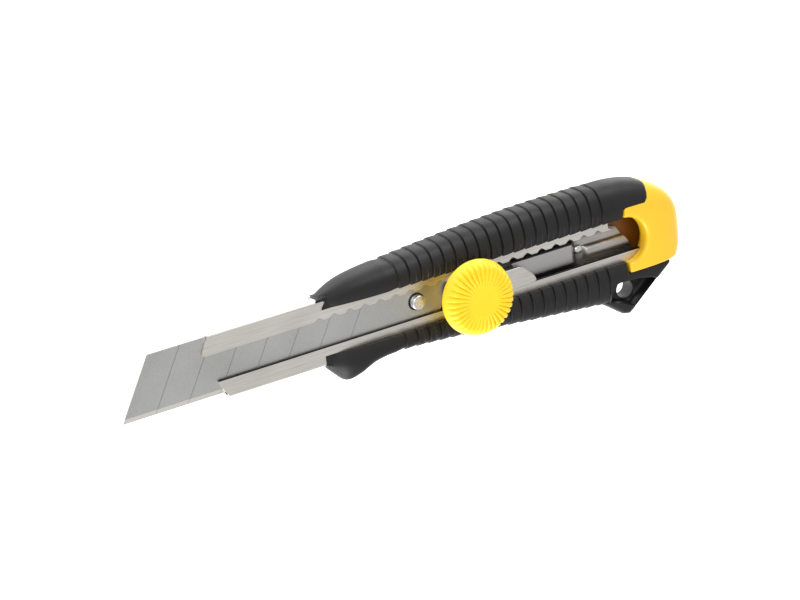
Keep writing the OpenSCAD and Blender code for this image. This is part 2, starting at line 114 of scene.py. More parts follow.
# A pale floor below the knife, an even white sky and the soft lights.
def addStage(settings):
    size = settings["floorSize"] * mm
    drop = -settings["floorDrop"] * mm
    mesh = bpy.data.meshes.new("floor")
    corners = [(-size, -size, drop), (size, -size, drop), (size, size, drop), (-size, size, drop)]
    mesh.from_pydata(corners, [], [(0, 1, 2, 3)])
    floor = bpy.data.objects.new("floor", mesh)
    bpy.context.scene.collection.objects.link(floor)
    paper = bpy.data.materials.new("paleFloor")
    paper.use_nodes = True
    shader = paper.node_tree.nodes["Principled BSDF"]
    shader.inputs["Base Color"].default_value = (0.95, 0.95, 0.95, 1)
    shader.inputs["Roughness"].default_value = 0.9
    shader.inputs["Specular IOR Level"].default_value = 0.1
    shader.inputs["Emission Color"].default_value = (1, 1, 1, 1)
    shader.inputs["Emission Strength"].default_value = 0.7
    mesh.materials.append(paper)
    world = bpy.data.worlds.new("studio")
    world.use_nodes = True
    world.node_tree.nodes["Background"].inputs["Color"].default_value = (1, 1, 1, 1)
    world.node_tree.nodes["Background"].inputs["Strength"].default_value = settings["skyStrength"]
    bpy.context.scene.world = world
    for name, (place, lampSize, power) in settings["lamps"].items():
        addSoftbox(name, place, lampSize, power)
    bpy.context.scene.view_settings.view_transform = "Standard"


addCamera(cameraSettings)
addStage(stageSettings)
print("camera and stage ready")


# Mesh helpers
# Quads between neighbouring points of a rows by cols grid.
def gridFaces(rows, cols, wrapRows=False, wrapCols=True):
    r, c = np.meshgrid(np.arange(rows - (not wrapRows)), np.arange(cols - (not wrapCols)), indexing="ij")
    r2, c2 = (r + 1) % rows, (c + 1) % cols
    return np.stack([r * cols + c, r2 * cols + c, r2 * cols + c2, r * cols + c2], -1).reshape(-1, 4)


# One mesh from points in millimetres: doubles merged if asked, faces turned outwards, smooth up to
# the crease angle.
def addPiece(name, points, faces, material, body, slot, nodes=(), crease=40, merge=0.0):
    mesh = bpy.data.meshes.new(name)
    mesh.from_pydata((np.asarray(points, float) * mm).tolist(), [], [list(f) for f in faces])
    work = bmesh.new()
    work.from_mesh(mesh)
    if merge:
        bmesh.ops.remove_doubles(work, verts=work.verts, dist=merge * mm)
    bmesh.ops.recalc_face_normals(work, faces=work.faces)
    work.to_mesh(mesh)
    work.free()
    mesh.shade_smooth()
    mesh.set_sharp_from_angle(angle=math.radians(crease))
    mesh.materials.append(material)
    piece = bpy.data.objects.new(name, mesh)
    bpy.context.scene.collection.objects.link(piece)
    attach(piece, body)
    if nodes:
        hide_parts(*nodes)
    return piece


# Closed rings of equal length joined side by side; each end gets a fan of triangles, or one face if the
# ring is hollow-sided.
def ringsToMesh(rings, hollow=False):
    count, size = rings.shape[:2]
    if hollow:
        ends = [list(range(size)), list(range((count - 1) * size, count * size))]
        return rings.reshape(-1, 3), gridFaces(count, size).tolist() + ends
    points = np.concatenate([rings.reshape(-1, 3), rings[:1].mean(1), rings[-1:].mean(1)])
    i = np.arange(size)
    j = (i + 1) % size
    firstFan = np.stack([j, i, np.full(size, count * size)], 1)
    lastFan = np.stack([i + (count - 1) * size, j + (count - 1) * size, np.full(size, count * size + 1)], 1)
    faces = gridFaces(count, size).tolist() + firstFan.tolist() + lastFan.tolist()
    return points, faces


# Nothing up to low, one from high on, and three t squared less two t cubed between.
def smoothStep(low, high, value):
    t = np.clip((value - low) / (high - low), 0, 1)
    return t * t * (3 - 2 * t)


# The larger of two fields, with the corner between them rounded over the reach.
def softMax(a, b, reach):
    h = np.maximum(reach - np.abs(a - b), 0) / reach
    return np.maximum(a, b) + h * h * reach / 4


# Signed distance in plan to a closed outline, negative inside.
def outlineDistance(corners, x, y):
    corners = np.array(corners, float)
    following = np.roll(corners, -1, 0)
    nearest = np.full(np.shape(x), 1e9)
    inside = np.zeros(np.shape(x), bool)
    for (ax, ay), (bx, by) in zip(corners, following):
        ex, ey = bx - ax, by - ay
        t = np.clip(((x - ax) * ex + (y - ay) * ey) / (ex * ex + ey * ey), 0, 1)
        nearest = np.minimum(nearest, np.hypot(x - ax - t * ex, y - ay - t * ey))
        crosses = (ay > y) != (by > y)
        reachX = ax + (y - ay) * ex / (ey if ey else 1e-9)
        inside ^= crosses & (x < reachX)
    return np.where(inside, -nearest, nearest)


# Skin of a field's inside: each cell that the surface crosses gets one point, at the mean of its edge
# crossings, moved onto the surface along the field's slope; each crossed grid edge gets a quad.
def fieldMesh(field, low, high, step):
    axes = [np.arange(a, b + step, step) for a, b in zip(low, high)]
    x, y, z = np.meshgrid(*axes, indexing="ij", sparse=True)
    value = field(x, y, z) + np.zeros((len(axes[0]), len(axes[1]), len(axes[2])))
    cells = tuple(n - 1 for n in value.shape)
    total = np.zeros(cells + (3,))
    count = np.zeros(cells)
    crossings = []
    for axis in range(3):
        a = np.moveaxis(value, axis, 0)[:-1]
        b = np.moveaxis(value, axis, 0)[1:]
        crossed = (a < 0) != (b < 0)
        share = np.where(crossed, a / np.where(crossed, a - b, 1), 0)
        crossed, share = np.moveaxis(crossed, 0, axis), np.moveaxis(share, 0, axis)
        crossings.append(crossed)
        others = [k for k in range(3) if k != axis]
        for du in (0, 1):
            for dv in (0, 1):
                cut = [slice(None)] * 3
                cut[others[0]] = slice(du, du + cells[others[0]])
                cut[others[1]] = slice(dv, dv + cells[others[1]])
                hit = crossed[tuple(cut)]
                count += hit
                total[..., axis] += hit * share[tuple(cut)]
                total[..., others[0]] += hit * du
                total[..., others[1]] += hit * dv
    used = count > 0
    number = np.full(cells, -1)
    number[used] = np.arange(used.sum())
    points = np.argwhere(used) + total[used] / count[used][:, None]
    points = points * step + np.array([a[0] for a in axes])
    quads = []
    for axis in range(3):
        others = [k for k in range(3) if k != axis]
        cut = [slice(None)] * 3
        cut[others[0]] = cut[others[1]] = slice(1, -1)
        at = np.argwhere(crossings[axis][tuple(cut)])
        at[:, others[0]] += 1
        at[:, others[1]] += 1
        corner = []
        for du, dv in ((1, 1), (0, 1), (0, 0), (1, 0)):
            cell = at.copy()
            cell[:, others[0]] -= du
            cell[:, others[1]] -= dv
            corner.append(number[cell[:, 0], cell[:, 1], cell[:, 2]])
        quads.append(np.stack(corner, 1))
    nudge = 0.02
    for _ in range(3):
        px, py, pz = points.T
        here = field(px, py, pz)
        slope = np.stack([field(px + nudge, py, pz) - field(px - nudge, py, pz),
                          field(px, py + nudge, pz) - field(px, py - nudge, pz),
                          field(px, py, pz + nudge) - field(px, py, pz - nudge)], 1) / (2 * nudge)
        move = -here[:, None] * slope / np.maximum((slope ** 2).sum(1), 0.05)[:, None]
        points = points + np.clip(move, -step * 0.3, step * 0.3)
    return points, np.concatenate(quads)


# A profile of radius and height turned about an upright axis; its first and last points lie on the axis.
def turned(profile, segments, centre=(0, 0)):
    profile = np.array(profile, float)
    angle = np.linspace(0, 2 * math.pi, segments, endpoint=False)
    radius, height = profile[1:-1, 0, None], profile[1:-1, 1, None]
    rings = np.stack([centre[0] + radius * np.cos(angle), centre[1] + radius * np.sin(angle),
                      height + 0 * angle], -1)
    points, faces = ringsToMesh(rings)
    points[-2:] = [[*centre, profile[0, 1]], [*centre, profile[-1, 1]]]
    return points, faces


# An outline whose corners are replaced by arcs, drawn as quadratic curves between points short of each
# corner.
def roundedOutline(corners, radius, steps=6):
    corners = np.array(corners, float)
    before, after = np.roll(corners, 1, 0) - corners, np.roll(corners, -1, 0) - corners
    reach = np.minimum(radius, 0.45 * np.minimum(np.hypot(*before.T), np.hypot(*after.T)))[:, None]
    start = corners + before / np.hypot(*before.T)[:, None] * reach
    end = corners + after / np.hypot(*after.T)[:, None] * reach
    t = np.linspace(0, 1, steps)[None, :, None]
    curve = (1 - t) ** 2 * start[:, None] + 2 * t * (1 - t) * corners[:, None] + t ** 2 * end[:, None]
    return curve.reshape(-1, 2)


# A flat plate: its outline carried from z0 to z1 with both rims rounded by pulling the rings in along
# their normals.
def plate(outline, z0, z1, edge, middle):
    outline = np.asarray(outline, float)
    along = np.roll(outline, -1, 0) - np.roll(outline, 1, 0)
    normal = np.stack([along[:, 1], -along[:, 0]], 1) / np.maximum(np.hypot(*along.T), 1e-9)[:, None]
    turn = np.linspace(0, math.pi / 2, 5)
    inset = np.concatenate([edge * (1 - np.sin(turn)), edge * (1 - np.cos(turn))])
    height = np.concatenate([z0 + edge * (1 - np.cos(turn)), z1 - edge * (1 - np.sin(turn))])
    rings = np.concatenate([outline[None] - inset[:, None, None] * normal[None],
                            np.broadcast_to(height[:, None, None], (len(inset), len(outline), 1))], -1)
    points, faces = ringsToMesh(rings)
    points[-2:, :2] = middle
    return points, faces


# Materials
# Display values to the renderer's linear light.
def linear(colour):
    c = np.array(colour, float)
    return tuple(np.where(c <= 0.04045, c / 12.92, ((c + 0.055) / 1.055) ** 2.4))


# An empty node group with named inputs and number outputs.
def newGroup(name, inputs, outputs):
    tree = bpy.data.node_groups.new(name, "ShaderNodeTree")
    for label, kind, value in inputs:
        socket = tree.interface.new_socket(name=label, in_out="INPUT", socket_type=kind)
        if value is not None:
            socket.default_value = value
    for label in outputs:
        tree.interface.new_socket(name=label, in_out="OUTPUT", socket_type="NodeSocketFloat")
    return tree, tree.nodes.new("NodeGroupInput"), tree.nodes.new("NodeGroupOutput")


def mathNode(tree, kind, a, b):
    node = tree.nodes.new("ShaderNodeMath")
    node.operation = kind
    for socket, value in zip(node.inputs, (a, b)):
        if isinstance(value, (int, float)):
            socket.default_value = value
        else:
            tree.links.new(value, socket)
    return node.outputs[0]


def noiseNode(tree, vector, scale, detail, roughness=0.5):
    node = tree.nodes.new("ShaderNodeTexNoise")
    node.inputs["Detail"].default_value = detail
    node.inputs["Roughness"].default_value = roughness
    tree.links.new(vector, node.inputs["Vector"])
    if isinstance(scale, (int, float)):
        node.inputs["Scale"].default_value = scale
    else:
        tree.links.new(scale, node.inputs["Scale"])
    return node.outputs["Fac"]


# Noise drawn out along one direction: fine grinding lines, with a slow change of tone over them.
def makeBrushedLines():
    inputs = [("Vector", "NodeSocketVector", None), ("Lines", "NodeSocketFloat", 4000.0),
              ("Stretch", "NodeSocketFloat", 0.02)]
    tree, given, out = newGroup("brushedLines", inputs, ["Height", "Tone"])
    scale = tree.nodes.new("ShaderNodeCombineXYZ")
    tree.links.new(given.outputs["Stretch"], scale.inputs["X"])
    scale.inputs["Y"].default_value = 1
    scale.inputs["Z"].default_value = 1
    drawn = tree.nodes.new("ShaderNodeVectorMath")
    drawn.operation = "MULTIPLY"
    tree.links.new(given.outputs["Vector"], drawn.inputs[0])
    tree.links.new(scale.outputs[0], drawn.inputs[1])
    fine = noiseNode(tree, drawn.outputs[0], given.outputs["Lines"], 3)
    slow = noiseNode(tree, given.outputs["Vector"], 60.0, 2)
    tree.links.new(fine, out.inputs["Height"])
    fineShare, slowShare = mathNode(tree, "MULTIPLY", fine, 0.7), mathNode(tree, "MULTIPLY", slow, 0.3)
    tree.links.new(mathNode(tree, "ADD", fineShare, slowShare), out.inputs["Tone"])
    return tree


# Fine even noise for a moulded skin, and a slow cloud for handling marks.
def makeMouldGrain():
    inputs = [("Vector", "NodeSocketVector", None), ("Grain", "NodeSocketFloat", 3000.0),
              ("Cloud", "NodeSocketFloat", 90.0)]
    tree, given, out = newGroup("mouldGrain", inputs, ["Height", "Marks"])
    grain = noiseNode(tree, given.outputs["Vector"], given.outputs["Grain"], 4, 0.6)
    tree.links.new(grain, out.inputs["Height"])
    cloud = noiseNode(tree, given.outputs["Vector"], given.outputs["Cloud"], 5, 0.6)
    tree.links.new(cloud, out.inputs["Marks"])
    return tree


brushedLines = makeBrushedLines()
mouldGrain = makeMouldGrain()


# A Principled material with one of the shared groups placed on Object coordinates.
def startMaterial(name, colour, metallic, roughness, group, values):
    material = bpy.data.materials.new(name)
    material.use_nodes = True
    tree = material.node_tree
    shader = tree.nodes["Principled BSDF"]
    shader.inputs["Base Color"].default_value = (*linear(colour), 1)
    shader.inputs["Metallic"].default_value = metallic
    shader.inputs["Roughness"].default_value = roughness
    coordinates = tree.nodes.new("ShaderNodeTexCoord")
    effect = tree.nodes.new("ShaderNodeGroup")
    effect.node_tree = group
    tree.links.new(coordinates.outputs["Object"], effect.inputs["Vector"])
    for label, value in values.items():
        effect.inputs[label].default_value = value
    return material, tree, shader, effect, coordinates


# The first colour where the mask is nothing, the second where it is one.
def blendColours(tree, mask, first, second, target):
    mix = tree.nodes.new("ShaderNodeMix")
    mix.data_type = "RGBA"
    tree.links.new(mask, mix.inputs["Factor"])
    for label, value in (("A", first), ("B", second)):
        socket = [s for s in mix.inputs if s.name == label and s.type == "RGBA"][0]
        if isinstance(value, tuple):
            socket.default_value = (*linear(value), 1)
        else:
            tree.links.new(value, socket)
    result = [s for s in mix.outputs if s.type == "RGBA"][0]
    if target:
        tree.links.new(result, target)
    return result


# A straight, clamped change from toLow to toHigh as the value goes from low to high.
def ramp(tree, value, low, high, toLow, toHigh):
    node = tree.nodes.new("ShaderNodeMapRange")
    for label, number in (("From Min", low), ("From Max", high), ("To Min", toLow), ("To Max", toHigh)):
        node.inputs[label].default_value = number
    tree.links.new(value, node.inputs["Value"])
    return node.outputs["Result"]


def addBump(tree, shader, height, distance, strength=1.0):
    bump = tree.nodes.new("ShaderNodeBump")
    bump.inputs["Distance"].default_value = distance * mm
    bump.inputs["Strength"].default_value = strength
    tree.links.new(height, bump.inputs["Height"])
    tree.links.new(bump.outputs["Normal"], shader.inputs["Normal"])


# Goes from nothing to one as the point rises from low to high above the flat back, in millimetres.
def heightMask(tree, coordinates, low, high):
    split = tree.nodes.new("ShaderNodeSeparateXYZ")
    tree.links.new(coordinates.outputs["Object"], split.inputs[0])
    return ramp(tree, split.outputs["Z"], low * mm, high * mm, 0.0, 1.0)


# Metal whose colour and roughness follow the brushed lines.
def steelFinish(name, dark, light, roughness, lines, stretch, bump):
    material, tree, shader, effect, coordinates = startMaterial(
        name, light, 1.0, roughness[0], brushedLines, {"Lines": lines, "Stretch": stretch})
    tone = ramp(tree, effect.outputs["Tone"], 0.35, 0.65, 0.0, 1.0)
    blendColours(tree, tone, dark, light, shader.inputs["Base Color"])
    tree.links.new(ramp(tree, effect.outputs["Tone"], 0.3, 0.7, *roughness), shader.inputs["Roughness"])
    addBump(tree, shader, effect.outputs["Height"], bump)
    return material


# One between two millimetre values of a coordinate, nothing outside them.
def between(tree, value, low, high, soft):
    rise = ramp(tree, value, (low - soft) * mm, (low + soft) * mm, 0.0, 1.0)
    drop = ramp(tree, value, (high - soft) * mm, (high + soft) * mm, 1.0, 0.0)
    return mathNode(tree, "MULTIPLY", rise, drop)


# Plastic or rubber whose colour and roughness follow slow handling marks.
def mouldedFinish(name, dark, light, roughness, grain, bump, coat=0.0, specular=0.5):
    material, tree, shader, effect, coordinates = startMaterial(
        name, light, 0.0, roughness[0], mouldGrain, {"Grain": grain, "Cloud": 70.0})
    marks = ramp(tree, effect.outputs["Marks"], 0.35, 0.7, 0.0, 1.0)
    blendColours(tree, marks, light, dark, shader.inputs["Base Color"])
    tree.links.new(ramp(tree, effect.outputs["Marks"], 0.3, 0.7, *roughness), shader.inputs["Roughness"])
    shader.inputs["Coat Weight"].default_value = coat
    shader.inputs["Specular IOR Level"].default_value = specular
    shader.inputs["Coat Roughness"].default_value = 0.25
    addBump(tree, shader, effect.outputs["Height"], bump)
    return material


brightSteel = steelFinish("brightSteel", (0.82, 0.82, 0.80), (0.92, 0.915, 0.90),
                          (0.24, 0.34), 3000.0, 0.3, 0.004)
plateSteel = steelFinish("plateSteel", (0.80, 0.785, 0.76), (0.88, 0.87, 0.845),
                         (0.3, 0.42), 5200.0, 0.03, 0.008)
darkSteel = steelFinish("darkSteel", (0.20, 0.20, 0.20), (0.29, 0.285, 0.28), (0.3, 0.45), 2500.0, 0.2, 0.01)
brassTurned = steelFinish("brassTurned", (0.72, 0.56, 0.28), (0.82, 0.66, 0.36),
                          (0.22, 0.32), 3000.0, 0.3, 0.006)
wheelYellow = mouldedFinish("wheelYellow", (0.97, 0.81, 0.09), (0.985, 0.84, 0.12),
                            (0.42, 0.52), 2600.0, 0.014)
gripRubber = mouldedFinish("gripRubber", (0.085, 0.08, 0.08), (0.11, 0.105, 0.105),
                           (0.42, 0.54), 3200.0, 0.02, 0.0, 0.32)
tailPlastic = mouldedFinish("tailPlastic", (0.10, 0.095, 0.10), (0.125, 0.12, 0.125),
                            (0.36, 0.46), 2800.0, 0.015, 0.0, 0.36)
print("materials ready")

# Handle envelope
# Rows of x, upper outline, lower outline, top and bottom, with a cubic between them.
envelope = {
    "rows": np.array([
        [-46.8, 10.3, -10.4, 13.7, 6.9], [-43, 11.6, -14.6, 14.8, 4.6], [-40.4, 12.3, -16.9, 15.4, 3],
        [-36.5, 13.2, -15.8, 15.9, 1.7], [-31, 13.9, -13.3, 16.4, 0.6], [-24, 14.5, -12.5, 16.6, 0],
        [-11, 15.7, -13.2, 16.6, 0], [8, 17.2, -14.9, 16.6, 0], [24, 18.0, -16.6, 16.6, 0],
        [45, 18.2, -18.6, 16.6, 0], [50, 18, -19.2, 16.6, 0],
    ]),
    "endX": 50, "endUp": 18, "endLow": -19.2, "endPower": 2.4, "rollX": 60, "rollPower": 3,
    "upperPower": 3.2, "lowerPower": 5,
}
buttX = coreHigh[0] + 0.4  # the rounded end bulges a little past the plain solid
halfT = gripHigh[2] / 2


# Cubic through the rows, with each row's slope taken from its two neighbours.
def rowCurve(x, column):
    rows = envelope["rows"]
    last = len(rows) - 1
    number = np.arange(last + 1)
    before, after = np.maximum(number - 1, 0), np.minimum(number + 1, last)
    slope = (rows[after, column] - rows[before, column]) / (rows[after, 0] - rows[before, 0])
    i = np.clip(np.searchsorted(rows[:, 0], x, side="right") - 1, 0, last - 1)
    h = rows[i + 1, 0] - rows[i, 0]
    t = np.clip((x - rows[i, 0]) / h, 0, 1)
    return ((2 * t ** 3 - 3 * t ** 2 + 1) * rows[i, column] + (t ** 3 - 2 * t ** 2 + t) * h * slope[i]
            + (3 * t ** 2 - 2 * t ** 3) * rows[i + 1, column] + (t ** 3 - t ** 2) * h * slope[i + 1])


# One up to the start, then down to nothing at the butt on a rounded curve.
def fall(x, start, power):
    t = np.clip((x - start) / (buttX - start), 0, 1)
    return np.maximum(1 - t ** power, 0) ** (1 / power)


# Upper outline: the cubic, then a rounded fall to the butt. The next three are made alike.
def upperSide(x):
    tail = envelope["endUp"] * fall(x, envelope["endX"], envelope["endPower"])
    return np.where(x < envelope["endX"], rowCurve(x, 1), tail)


def lowerSide(x):
    tail = envelope["endLow"] * fall(x, envelope["endX"] + 4.5, envelope["endPower"])
    return np.where(x < envelope["endX"], rowCurve(x, 2), tail)


def topZ(x):
    tail = halfT + halfT * fall(x, envelope["rollX"], envelope["rollPower"])
    return np.where(x < envelope["endX"], rowCurve(x, 3), tail)


def bottomZ(x):
    tail = halfT - halfT * fall(x, envelope["rollX"], envelope["rollPower"])
    return np.where(x < envelope["endX"], rowCurve(x, 4), tail)


# Rubber grips
gripSettings = {
    "ribStart": -21.3, "ribPitch": 3.9, "ribCount": 19, "ribDepth": 0.55, "fineDepth": 0.13,
    "stepWidth": 0.14,
    "mouth": 7.0, "mouthDrop": 1.6, "rollWidth": 5.0, "skinEnd": 0.5, "plinth": 9.05, "wallGap": 0.05,
    "upperFront": [[6, 7, 10.0, 10.2, 10.5], [-45.9, -45.7, -43.9, -46.9, -47.8]], "lowerFront": -46.5,
}


# Saw teeth along the grip: each rib starts with a steep step towards the blade and slopes back down to
# the next.
def ribInset(x):
    s = gripSettings
    turn = (x - s["ribStart"]) / s["ribPitch"]
    share = turn - np.floor(turn)
    step = s["stepWidth"] / s["ribPitch"]
    slope = np.where(share < step, 1 - smoothStep(0, step, share), ((share - step) / (1 - step)) ** 1.6)
    tooth = 0.62 * slope + 0.38 * np.clip(1 - np.abs(share - 0.965) / 0.045, 0, 1)
    on = smoothStep(-1.2, 0.0, turn) * (1 - smoothStep(s["ribCount"] - 1, s["ribCount"] + 0.2, turn))
    before = smoothStep(-1.0, 0.0, turn) * (turn < 0)
    return s["ribDepth"] * np.where(turn < 0, before * 0.8, tooth * on)


# Thin raised beads at half the pitch, on the faces beside the long opening.
def fineInset(x):
    s = gripSettings
    turn = (x - s["ribStart"]) / s["ribPitch"] * 2
    share = turn - np.floor(turn)
    on = smoothStep(1.0, 3.0, turn) * (1 - smoothStep(2 * s["ribCount"] - 3, 2 * s["ribCount"] - 1, turn))
    away = np.minimum(share, 1 - share)
    return -s["fineDepth"] * on * smoothStep(0.1, 0.0, away)


# Stations close together at each rib's step, and far apart along its slope and in the plain stretches.
def gripStations():
    s = gripSettings
    share = np.array([0, 0.012, 0.024, 0.036, 0.06, 0.15, 0.3, 0.45, 0.475, 0.5, 0.525, 0.55, 0.7, 0.85, 0.92,
                      0.945, 0.965, 0.985])
    ribs = s["ribStart"] + (np.arange(-1, s["ribCount"] + 1)[:, None] + share[None]) * s["ribPitch"]
    inner = np.concatenate([np.arange(-43, ribs.min() - 0.5, 0.9), ribs.ravel()])
    return np.sort(inner[inner < envelope["endX"] - 0.6])


# Rings round one grip. The outer stretch follows the envelope from the opening over the top and round to
# the back, less the ribs; the inner stretch runs beside the core and the channel. frontX and rearX give
# the ends for each point of the ring, as functions of its distance from the centre line.
def gripRings(sign, frontX, rearX, plinth, channelSide, floorLevel):
    s = gripSettings
    arcCount = 56
    front, rear = -42.0, envelope["endX"] - 1.0
    body = gripStations()
    body = body[body > front]
    lead = np.linspace(0, 1, 9)[::-1]
    trail = np.concatenate([np.linspace(0, 0.9, 16), [0.95, 0.975, 0.99, 1.0]])
    part = np.concatenate([np.zeros(len(lead)), np.ones(len(body)), np.full(len(trail), 2)])
    station = np.concatenate([lead, body, trail])[:, None]
    part = part[:, None]
    share = np.linspace(0, 1, arcCount)[None]
    side = upperSide if sign > 0 else (lambda x: -lowerSide(x))

    def arcAt(x):
        reach, top, bottom = side(x), topZ(x), bottomZ(x)
        power = envelope["upperPower"] if sign > 0 else envelope["lowerPower"] - 2.3 * smoothStep(-35, -43, x)
        first = np.arccos(np.clip((s["mouth"] / reach) ** (power / 2), 0, 1))
        last = -np.arccos(np.clip((plinth / reach) ** (power / 2), 0, 1))
        angle = first + (last - first) * share
        c, sn = np.cos(angle), np.sin(angle)
        y = reach * np.abs(c) ** (2 / power)
        z = (top + bottom) / 2 + (top - bottom) / 2 * np.sign(sn) * np.abs(sn) ** (2 / power)
        return y, z, angle

    guess = np.where(part == 0, front + (gripLow[0] - front) * station,
                     np.where(part == 1, station, rear + 6 * station))
    y, z, angle = arcAt(guess)
    for _ in range(3):
        x = np.where(part == 0, front + (frontX(y, z) - front) * station,
                     np.where(part == 1, station + 0 * y, rear + (rearX(y, z) - rear) * station))
        y, z, angle = arcAt(x)
    # faces roll down towards the opening
    roll = np.clip((s["mouth"] + s["rollWidth"] - y) / s["rollWidth"], 0, 1) ** 2 * (z > halfT)
    z = z - s["mouthDrop"] * roll
    # inset by the ribs along the ring's own normal
    dy, dz = np.gradient(y, axis=1), np.gradient(z, axis=1)
    length = np.maximum(np.hypot(dy, dz), 1e-9)
    ny, nz = -dz / length, dy / length
    nearMouth = 1 - smoothStep(10.5, 13.5, y)
    inset = ribInset(x) + fineInset(x) * nearMouth * (z > halfT)
    endRound = np.where(part == 0, s["skinEnd"] * 1.4 * (1 - np.sqrt(np.clip(1 - station ** 8, 0, 1))),
                        np.where(part == 2, 0.9 * smoothStep(0.93, 1.0, station), 0))
    inset = inset + endRound
    y = y - inset * ny
    z = z - inset * nz
    # out of the channel's room along the body: above its lips near the opening, and outside its walls
    # below them; the front ends still meet its walls
    lipLevel = lipTop + 0.03
    over = angle > 0
    z = np.where(over & (y < channelSide + 0.1), np.maximum(z, lipLevel + 0.04), z)
    z = np.where(~over & (y < channelSide - 0.3), np.minimum(z, floorLevel - 0.1), z)
    y = np.where((z > floorLevel - 0.1) & (z < lipLevel + 0.03), np.maximum(y, channelSide + 0.12), y)
    innerEdge = s["mouth"] + 0.45 * ribInset(x[:, :1])
    y[:, 0:1] = innerEdge
    # inner stretch: every outer point has a partner on the wall of the room
    innerY, innerZ = np.minimum(y, channelSide), np.clip(z, floorLevel, lipLevel)
    innerX = np.where(part == 0, front + (frontX(innerY, innerZ) - front) * station,
                      np.where(part == 1, station + 0 * y, rear + (rearX(innerY, innerZ) - rear) * station))
    outer = np.stack([x, sign * y, z], -1)
    inner = np.stack([innerX, sign * innerY, innerZ], -1)
    return np.concatenate([outer, inner[:, ::-1]], 1)


# Rings whose second half lies beside the first in reverse: each end is closed by quads between the
# partners.
def crescentMesh(rings):
    count, size = rings.shape[:2]
    i = np.arange(size // 2 - 1)
    cap = np.stack([i, i + 1, size - 2 - i, size - 1 - i], 1)
    faces = gridFaces(count, size).tolist() + cap.tolist() + (cap + (count - 1) * size).tolist()
    return rings.reshape(-1, 3), faces


# Seam with the butt: a step forward beside the loop, and a curved edge outside it.
def upperRear(y, z):
    return np.interp(y, [0, 10.2, 10.5, 12.5, 14.5, 17, 22], [56.6, 56.6, 65.6, 66.3, 66.8, 68, 70])


# Seam with the tail: a lobe over its web, then a slanted edge beside its pocket.
def lowerRear(y, z):
    return np.interp(y, [0, 12.1, 12.5, 13.9, 15.0, 15.8, 16.7, 17.9, 19.2],
                     [56.1, 56.1, 50.7, 50.2, 48.7, 47.6, 46.9, 46.3, 46.0])


# Front edge of the upper grip, straight between points across the grip.
def upperFront(y, z):
    return np.interp(y, *gripSettings["upperFront"])


# Front edge of the lower grip: one straight cut.
def lowerFront(y, z):
    return gripSettings["lowerFront"] + 0 * y


def addGrips():
    s = gripSettings
    room = (s["plinth"], channelHigh[1] + s["wallGap"], channelLow[2] - s["wallGap"])
    upper = gripRings(1, upperFront, upperRear, *room)
    lower = gripRings(-1, lowerFront, lowerRear, *room)
    grips = (("upperGripRubber", upper, "upper_grip"), ("lowerGripRubber", lower, "lower_grip"))
    for name, rings, node in grips:
        addPiece(name, *crescentMesh(rings), gripRubber, "handle", "grip_rubber", [node],
                 crease=50, merge=0.002)


addGrips()
print("grips ready")

# Core and butt
coreSettings = {
    "loopX": 56.4, "loopR": 7.2, "loopLip": 11.5, "loopRound": 1.6, "buttEdge": -10.3, "hollowRear": 72.9,
    "skinGap": 0.18, "step": 0.34, "plinthHalf": 9.0, "sheathHalf": 11.1, "hollowPaintedShade": (0.50, 0.29, 0.04),
    # hollowPaintedShade is a painted shade colour for the faces inside the hollow behind the finger loop.
    "buttFront": 56.6, "upperFront": 62, "upperFrom": 10.6, "hollowMiddle": 9.55, "hollowHalf": 1.95,
    "seatMiddle": 10.35, "seatHalf": 2.75,
    "seat": [[40, -10.3], [66.5, -10.3], [57.7, 2.7], [53, 10.3], [40, 10.3]],
}


# Moulded yellow, with painted shade inside the hollow behind the finger loop: its faces there get a darker
# brown-yellow colour.
def shellFinish():
    material = mouldedFinish("yellowShell", (0.955, 0.755, 0.125), (0.975, 0.785, 0.15),
                             (0.34, 0.44), 2400.0, 0.012, 0.15)
    tree = material.node_tree
    shader = tree.nodes["Principled BSDF"]
    outside = shader.inputs["Base Color"].links[0].from_socket
    split = tree.nodes.new("ShaderNodeSeparateXYZ")
    tree.links.new([n for n in tree.nodes if n.type == "TEX_COORD"][0].outputs["Object"], split.inputs[0])
    inX = between(tree, split.outputs["X"], 44.0, coreSettings["hollowRear"] + 0.3, 0.2)
    inY = between(tree, split.outputs["Y"], coreSettings["buttEdge"] - 0.4, 10.7, 0.2)
    inZ = between(tree, split.outputs["Z"], 6.5, coreSettings["loopLip"] + 0.5, 0.7)
    inside = mathNode(tree, "MULTIPLY", mathNode(tree, "MULTIPLY", inX, inY), inZ)
    # Painted shade: the inner faces of the hollow are coloured darker here instead of being left to the
    # lamps.
    blendColours(tree, inside, outside, coreSettings["hollowPaintedShade"], shader.inputs["Base Color"])
    return material


